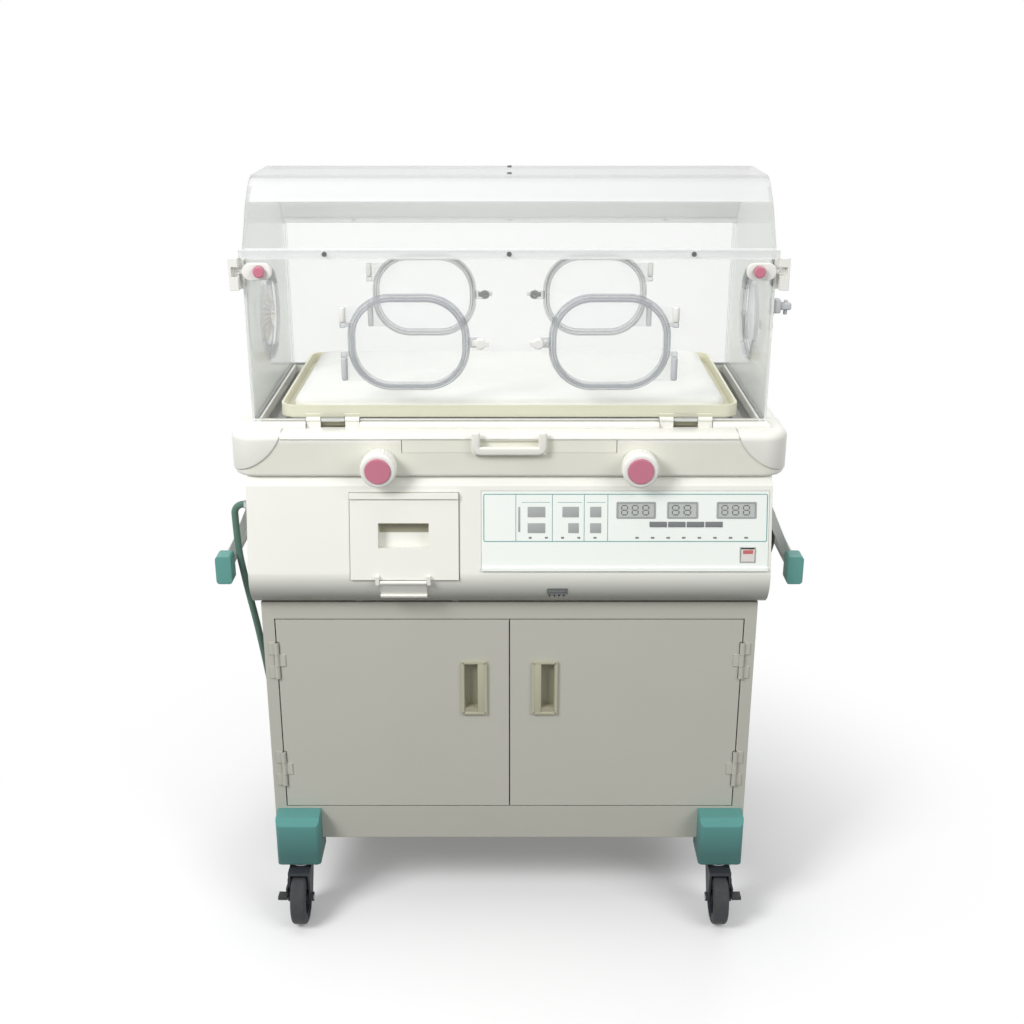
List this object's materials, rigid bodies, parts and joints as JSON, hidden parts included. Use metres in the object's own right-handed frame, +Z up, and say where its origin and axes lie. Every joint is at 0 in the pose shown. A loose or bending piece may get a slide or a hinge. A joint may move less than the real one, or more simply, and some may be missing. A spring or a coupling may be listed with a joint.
{
  "type": "infant incubator",
  "caption": "Closed infant incubator on a wheeled cabinet: clear hood with hand ports, tilting mattress tray, control box, drawers, doors and casters.",
  "frame": {"origin": "on the floor, at the middle of the footprint", "axes": "+Z up, +Y from the front (controls) to the back, +X to the right seen from the front"},
  "size_m": [1.022, 0.602, 1.345],
  "materials": {
    "cabinet_paint": "warm grey enamel",
    "teal": "satin teal",
    "steel": "bright steel",
    "box_paint": "smooth off-white",
    "panel_print": "satin membrane",
    "display": "smoked window",
    "board": "circuit board",
    "aluminium": "cast aluminium",
    "white_shell": "smooth moulded white",
    "cream": "satin cream",
    "clear_sheet": "clear polished acrylic",
    "port_clear": "clear grey moulding",
    "rail_grey": "grey enamel",
    "chrome": "bright plated",
    "hose": "green hose",
    "lead": "dark lead",
    "tyre": "dark grey tread",
    "black_plastic": "matt dark grey",
    "pink": "satin pink",
    "mattress": "white cover",
    "knob_white": "smooth white",
    "film": "thin soft film"
  },
  "bodies": {
    "frame": {"cabinet_shell": "cabinet_paint", "caster_covers": "teal", "hinge_pins": "steel", "control_housing": "box_paint", "control_panel": "panel_print", "display_windows": "display", "circuit_boards": "board", "fan_motor": "aluminium", "heater": "steel", "base_tray": "white_shell", "deck": "cream", "hood_shell": "clear_sheet", "hood_walls": "clear_sheet", "wall_port_rings": "port_clear", "panel_latch_brackets": "port_clear", "hood_screws": "steel", "side_rails": "rail_grey", "rail_blocks": "teal", "side_fittings": "chrome", "oxygen_hose": "hose", "sensor_lead": "lead"},
    "caster_fork_front_left": {"caster_fork_front_left": "steel"},
    "caster_wheel_front_left": {"caster_wheel_front_left": "tyre"},
    "caster_fork_front_right": {"caster_fork_front_right": "steel"},
    "caster_wheel_front_right": {"caster_wheel_front_right": "tyre"},
    "caster_fork_rear_left": {"caster_fork_rear_left": "steel"},
    "caster_wheel_rear_left": {"caster_wheel_rear_left": "tyre"},
    "caster_fork_rear_right": {"caster_fork_rear_right": "steel"},
    "caster_wheel_rear_right": {"caster_wheel_rear_right": "tyre"},
    "brake_pedal_left": {"brake_pedal_left": "black_plastic"},
    "brake_pedal_right": {"brake_pedal_right": "black_plastic"},
    "cabinet_door_left": {"cabinet_door_left": "cabinet_paint"},
    "cabinet_door_right": {"cabinet_door_right": "cabinet_paint"},
    "power_switch": {"power_switch": "pink"},
    "fan_impeller": {"fan_impeller": "black_plastic"},
    "tank_drawer": {"tank_door": "box_paint", "water_tank": "port_clear"},
    "tank_latch": {"tank_latch": "box_paint"},
    "cassette_tray": {"cassette_tray": "white_shell"},
    "tilt_frame": {"tilt_frame": "steel"},
    "mattress_tray": {"mattress_tray": "cream", "mattress": "mattress"},
    "tilt_knob_left": {"tilt_knob_left": "knob_white"},
    "tilt_knob_right": {"tilt_knob_right": "knob_white"},
    "front_panel": {"front_panel": "clear_sheet", "front_port_rings": "port_clear"},
    "panel_button_left": {"panel_button_left": "pink"},
    "panel_button_right": {"panel_button_right": "pink"},
    "port_door_front_left": {"port_door_front_left": "port_clear"},
    "port_latch_front_left": {"port_latch_front_left": "knob_white"},
    "port_door_front_right": {"port_door_front_right": "port_clear"},
    "port_latch_front_right": {"port_latch_front_right": "knob_white"},
    "port_door_rear_left": {"port_door_rear_left": "port_clear"},
    "port_latch_rear_left": {"port_latch_rear_left": "knob_white"},
    "port_door_rear_right": {"port_door_rear_right": "port_clear"},
    "port_latch_rear_right": {"port_latch_rear_right": "knob_white"},
    "end_port_door": {"end_port_door": "port_clear"},
    "end_port_latch": {"end_port_latch": "knob_white"},
    "iris": {"iris_ring": "knob_white", "iris_sleeve": "film"}
  },
  "joints": [
    {"name": "caster_swivel_front_left", "type": "hinge", "parent": "frame", "child": "caster_fork_front_left", "pos_m": [-0.39, -0.22, 0.12], "axis": [0, 0, 1], "continuous": true},
    {"name": "wheel_spin_front_left", "type": "hinge", "parent": "caster_fork_front_left", "child": "caster_wheel_front_left", "pos_m": [-0.39, -0.251, 0.05], "axis": [1, 0, 0], "continuous": true},
    {"name": "caster_swivel_front_right", "type": "hinge", "parent": "frame", "child": "caster_fork_front_right", "pos_m": [0.39, -0.22, 0.12], "axis": [0, 0, 1], "continuous": true},
    {"name": "wheel_spin_front_right", "type": "hinge", "parent": "caster_fork_front_right", "child": "caster_wheel_front_right", "pos_m": [0.39, -0.251, 0.05], "axis": [1, 0, 0], "continuous": true},
    {"name": "caster_swivel_rear_left", "type": "hinge", "parent": "frame", "child": "caster_fork_rear_left", "pos_m": [-0.39, 0.27, 0.12], "axis": [0, 0, 1], "continuous": true},
    {"name": "wheel_spin_rear_left", "type": "hinge", "parent": "caster_fork_rear_left", "child": "caster_wheel_rear_left", "pos_m": [-0.39, 0.239, 0.05], "axis": [1, 0, 0], "continuous": true},
    {"name": "caster_swivel_rear_right", "type": "hinge", "parent": "frame", "child": "caster_fork_rear_right", "pos_m": [0.39, 0.27, 0.12], "axis": [0, 0, 1], "continuous": true},
    {"name": "wheel_spin_rear_right", "type": "hinge", "parent": "caster_fork_rear_right", "child": "caster_wheel_rear_right", "pos_m": [0.39, 0.239, 0.05], "axis": [1, 0, 0], "continuous": true},
    {"name": "brake_press_left", "type": "hinge", "parent": "caster_fork_front_left", "child": "brake_pedal_left", "pos_m": [-0.39, -0.235, 0.074], "axis": [1, 0, 0], "range_deg": [0, 18]},
    {"name": "brake_press_right", "type": "hinge", "parent": "caster_fork_front_right", "child": "brake_pedal_right", "pos_m": [0.39, -0.235, 0.074], "axis": [1, 0, 0], "range_deg": [0, 18]},
    {"name": "cabinet_door_swing_left", "type": "hinge", "parent": "frame", "child": "cabinet_door_left", "pos_m": [-0.413, -0.21, 0.221], "axis": [0, 0, -1], "range_deg": [0, 110]},
    {"name": "cabinet_door_swing_right", "type": "hinge", "parent": "frame", "child": "cabinet_door_right", "pos_m": [0.413, -0.21, 0.221], "axis": [0, 0, 1], "range_deg": [0, 110]},
    {"name": "power_rock", "type": "hinge", "parent": "frame", "child": "power_switch", "pos_m": [0.406, -0.23523, 0.73263], "axis": [-1, 0, 0], "range_deg": [0, 12]},
    {"name": "fan_spin", "type": "hinge", "parent": "frame", "child": "fan_impeller", "pos_m": [0.14, 0.115, 0.737], "axis": [0, 0, 1], "continuous": true},
    {"name": "tank_slide", "type": "slide", "parent": "frame", "child": "tank_drawer", "axis": [0, -1, 0], "range_m": [0, 0.23]},
    {"name": "tank_clip_turn", "type": "hinge", "parent": "tank_drawer", "child": "tank_latch", "pos_m": [-0.181, -0.252, 0.688], "axis": [-1, 0, 0], "range_deg": [0, 60]},
    {"name": "cassette_slide", "type": "slide", "parent": "frame", "child": "cassette_tray", "axis": [0, -1, 0], "range_m": [0, 0.3]},
    {"name": "bed_tilt_left_up", "type": "hinge", "parent": "frame", "child": "tilt_frame", "pos_m": [0.345, 0.045, 0.9335], "axis": [0, 1, 0], "range_deg": [0, 8]},
    {"name": "bed_tilt_right_up", "type": "hinge", "parent": "tilt_frame", "child": "mattress_tray", "pos_m": [-0.345, 0.045, 0.9335], "axis": [0, -1, 0], "range_deg": [0, 8]},
    {"name": "tilt_knob_turn_left", "type": "hinge", "parent": "frame", "child": "tilt_knob_left", "pos_m": [-0.219, -0.205, 0.884], "axis": [0, 1, 0], "range_deg": [0, 480]},
    {"name": "tilt_knob_turn_right", "type": "hinge", "parent": "frame", "child": "tilt_knob_right", "pos_m": [0.219, -0.205, 0.884], "axis": [0, -1, 0], "range_deg": [0, 480]},
    {"name": "front_panel_drop", "type": "hinge", "parent": "frame", "child": "front_panel", "pos_m": [0, -0.16075, 0.951], "axis": [1, 0, 0], "range_deg": [0, 85]},
    {"name": "panel_button_press_left", "type": "slide", "parent": "front_panel", "child": "panel_button_left", "axis": [0, 1, 0], "range_m": [0, 0.003], "stiffness_N_per_m": 200},
    {"name": "panel_button_press_right", "type": "slide", "parent": "front_panel", "child": "panel_button_right", "axis": [0, 1, 0], "range_m": [0, 0.003], "stiffness_N_per_m": 200},
    {"name": "port_swing_front_left", "type": "hinge", "parent": "front_panel", "child": "port_door_front_left", "pos_m": [-0.275, -0.171, 1.085], "axis": [0, 0, -1], "range_deg": [0, 120]},
    {"name": "port_latch_turn_front_left", "type": "hinge", "parent": "front_panel", "child": "port_latch_front_left", "pos_m": [-0.048, -0.171, 1.085], "axis": [0, 1, 0], "range_deg": [0, 60]},
    {"name": "port_swing_front_right", "type": "hinge", "parent": "front_panel", "child": "port_door_front_right", "pos_m": [0.275, -0.171, 1.085], "axis": [0, 0, 1], "range_deg": [0, 120]},
    {"name": "port_latch_turn_front_right", "type": "hinge", "parent": "front_panel", "child": "port_latch_front_right", "pos_m": [0.048, -0.171, 1.085], "axis": [0, 1, 0], "range_deg": [0, 60]},
    {"name": "port_swing_rear_left", "type": "hinge", "parent": "frame", "child": "port_door_rear_left", "pos_m": [-0.275, 0.261, 1.085], "axis": [0, 0, 1], "range_deg": [0, 120]},
    {"name": "port_latch_turn_rear_left", "type": "hinge", "parent": "frame", "child": "port_latch_rear_left", "pos_m": [-0.048, 0.261, 1.085], "axis": [0, 1, 0], "range_deg": [0, 60]},
    {"name": "port_swing_rear_right", "type": "hinge", "parent": "frame", "child": "port_door_rear_right", "pos_m": [0.275, 0.261, 1.085], "axis": [0, 0, -1], "range_deg": [0, 120]},
    {"name": "port_latch_turn_rear_right", "type": "hinge", "parent": "frame", "child": "port_latch_rear_right", "pos_m": [0.048, 0.261, 1.085], "axis": [0, 1, 0], "range_deg": [0, 60]},
    {"name": "end_port_swing", "type": "hinge", "parent": "frame", "child": "end_port_door", "pos_m": [0.4435, 0.14, 1.092], "axis": [0, 0, 1], "range_deg": [0, 120]},
    {"name": "end_port_latch_turn", "type": "hinge", "parent": "frame", "child": "end_port_latch", "pos_m": [0.446, -0.061, 1.092], "axis": [1, 0, 0], "range_deg": [0, 60]},
    {"name": "iris_turn", "type": "hinge", "parent": "frame", "child": "iris", "pos_m": [-0.446, 0.045, 1.092], "axis": [1, 0, 0], "range_deg": [0, 170]}
  ],
  "couplings": [
    {"joint": "tilt_knob_turn_left", "follows": "bed_tilt_left_up", "ratio": 60},
    {"joint": "tilt_knob_turn_right", "follows": "bed_tilt_right_up", "ratio": 60}
  ]
}
